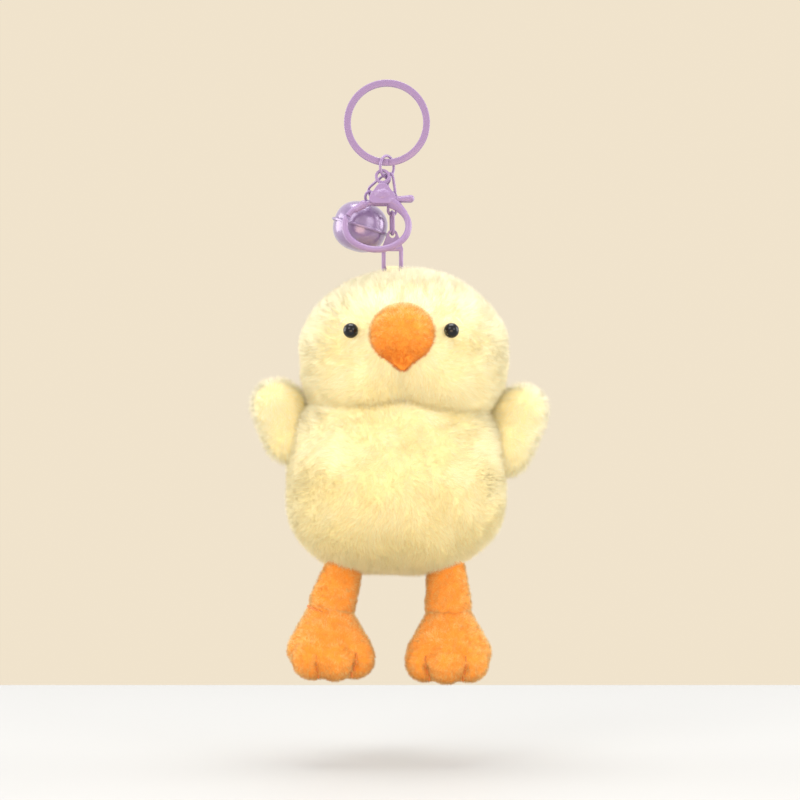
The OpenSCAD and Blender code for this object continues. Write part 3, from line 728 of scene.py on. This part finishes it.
# Bell: two shells, a crimped edge and a slot below
BELL_LEAN = math.radians(17)
bell_turn = Matrix.Rotation(BELL_LEAN, 4, "Y")
bell_r, bell_h, wall = 9.5, 8.75, 0.5


def dome(r, h):
    return [(r * max(math.cos(t), 0) ** 0.86, h * math.sin(t) ** 0.86)
            for t in np.linspace(0, math.pi / 2, 26)]


def place_bell(obj, at):
    m = Matrix.Translation(Vector(at) * MM) @ bell_turn
    obj.data.transform(m)
    return obj


j_bell = next(x for x in frame["joints"] if x["name"] == "bell_swing")
top = np.array(j_bell["pos_m"]) / MM
axis = np.array([math.sin(BELL_LEAN), 0, math.cos(BELL_LEAN)])
BELL_DROP = 12.8  # from the bell's hinge to its middle
bell_at = top - axis * BELL_DROP
crimp = [(10.25, 0.42), (10.34, 0.2), (10.34, -0.2), (10.25, -0.42), (9.9, -0.48), (9.86, -0.05)]
outer = dome(bell_r, bell_h)
inner = dome(bell_r - wall, bell_h - wall)[::-1]
upper = lathe("bell_upper", [(0.01, bell_h)] + outer[::-1][1:-1] + [(9.52, 0.62), (9.9, 0.48)] + crimp
              + [(9.05, -0.02)] + inner[::-1][1:-1] + [(0.01, bell_h - wall)], bell_lacquer)
place_bell(upper, bell_at)
finish_piece(upper, "bell", ["bell_upper_shell"])
lower_profile = [(r, -z) for r, z in ([(bell_r, 0.06)] + outer[1:-1]
                                      + [(0.01, bell_h), (0.01, bell_h - wall)]
                                      + inner[1:] + [(bell_r - wall, 0.06)])]
lower = lathe("bell_lower", lower_profile, bell_lacquer)
bm = bmesh.new()
slot_box = Matrix.Translation((0, 0, -9.5 * MM)) @ Matrix.Diagonal((12 * MM, 1.6 * MM, 10 * MM, 1))
bmesh.ops.create_cube(bm, size=1, matrix=slot_box)
hole_r = 1.5 * MM
for x in (-6, 6):
    bmesh.ops.create_cone(bm, cap_ends=True, segments=32, radius1=hole_r, radius2=hole_r, depth=12 * MM,
                          matrix=Matrix.Translation((x * MM, 0, -9 * MM)))
cut_mesh = bpy.data.meshes.new("slot_cut")
bm.to_mesh(cut_mesh)
bm.free()
cutter = bpy.data.objects.new("slot_cut", cut_mesh)
scene.collection.objects.link(cutter)
boolean = lower.modifiers.new("slot", "BOOLEAN")
boolean.operation = "DIFFERENCE"
boolean.object = cutter
boolean.solver = "EXACT"
boolean.use_self = True
baked(lower)
bpy.data.objects.remove(cutter)
place_bell(lower, bell_at)
finish_piece(lower, "bell", ["bell_lower_shell"])

# Carried-over CAD pieces
plain = {
    "top_jump_ring": lacquer, "clasp_rivet": lacquer, "clasp_spring": steel, "bell_link": lacquer,
    "bell_loop": lacquer, "bell_pea": steel, "chain_link_1": lacquer, "chain_link_2": lacquer,
    "chain_link_3": lacquer, "hanging_ribbon": ribbon, "head_stuffing": fibre,
    "eye_washer_left": washer, "eye_washer_right": washer, "body_stuffing": fibre,
    "neck_thread": thread_yellow,
    "wing_left_stuffing": fibre, "wing_right_stuffing": fibre, "leg_left_stuffing": fibre,
    "leg_right_stuffing": fibre,
}
for node, mat in plain.items():
    o = frame["nodes"][node]
    o.data.materials.clear()
    o.data.materials.append(mat)
    for p in o.data.polygons:
        p.use_smooth = True
for obj in bpy.data.objects:
    if obj.type == "MESH" and obj.name in ("bell_upper", "bell_lower", "split_ring_wire"):
        edge = obj.modifiers.new("edges", "EDGE_SPLIT")
        edge.split_angle = math.radians(50)

# ---------- floor, light and camera ----------

floor_z = before[0].z - 0.028
floor_x, floor_front, floor_back = 1.6, -1.9, 0.287
floor_corners = [(-floor_x, floor_front, floor_z), (floor_x, floor_front, floor_z),
                 (floor_x, floor_back, floor_z), (-floor_x, floor_back, floor_z)]
floor = mesh_object("floor", np.array(floor_corners) / MM, [[0, 1, 2, 3]],
                    material("pale_floor", (0.44, 0.445, 0.45), 0.6), False)

world = bpy.data.worlds.new("studio")
scene.world = world
world.use_nodes = True
wn, wl = world.node_tree.nodes, world.node_tree.links
wn.clear()
out = wn.new("ShaderNodeOutputWorld")
seen = wn.new("ShaderNodeBackground")
seen.inputs["Color"].default_value = (0.875, 0.77, 0.605, 1)
seen.inputs["Strength"].default_value = 1.0
sky = wn.new("ShaderNodeBackground")
sky.inputs["Color"].default_value = (1.0, 0.97, 0.92, 1)
sky.inputs["Strength"].default_value = 0.98
mix = wn.new("ShaderNodeMixShader")
rays = wn.new("ShaderNodeLightPath")
wl.new(rays.outputs["Is Camera Ray"], mix.inputs["Fac"])
wl.new(sky.outputs["Background"], mix.inputs[1])
wl.new(seen.outputs["Background"], mix.inputs[2])
wl.new(mix.outputs["Shader"], out.inputs["Surface"])


def softbox(name, place, aim, size, power, colour=(1, 1, 1)):
    light = bpy.data.lights.new(name, "AREA")
    light.shape = "SQUARE"
    light.size = size
    light.energy = power
    light.color = colour
    o = bpy.data.objects.new(name, light)
    scene.collection.objects.link(o)
    o.location = place
    o.rotation_euler = (Vector(aim) - Vector(place)).to_track_quat("-Z", "Y").to_euler()


aim = (0.004, 0, -0.11)
softbox("key", (-0.45, -0.75, 0.55), aim, 0.5, 2.8, (1.0, 0.985, 0.96))
softbox("fill", (0.65, -0.7, 0.25), aim, 0.5, 1.95, (1.0, 0.985, 0.96))
softbox("top", (0.0, 0.1, 0.75), aim, 0.6, 6.0)
softbox("left", (-0.8, 0.15, 0.1), aim, 0.6, 4.6, (1.0, 0.98, 0.94))
softbox("right", (0.8, 0.15, 0.1), aim, 0.6, 4.6, (1.0, 0.98, 0.94))
softbox("bounce", (0.0, -0.45, -0.2), (0.004, 0, -0.16), 0.3, 1.2, (1.0, 0.72, 0.42))

camera = bpy.data.objects.new("camera", bpy.data.cameras.new("camera"))
scene.collection.objects.link(camera)
camera.data.lens = 140
camera.location = (0.00454, -1.085, -0.1093)
camera.rotation_euler = (math.radians(90), 0, 0)
camera.data.clip_start = 0.05
scene.camera = camera
scene.view_settings.view_transform = "Standard"
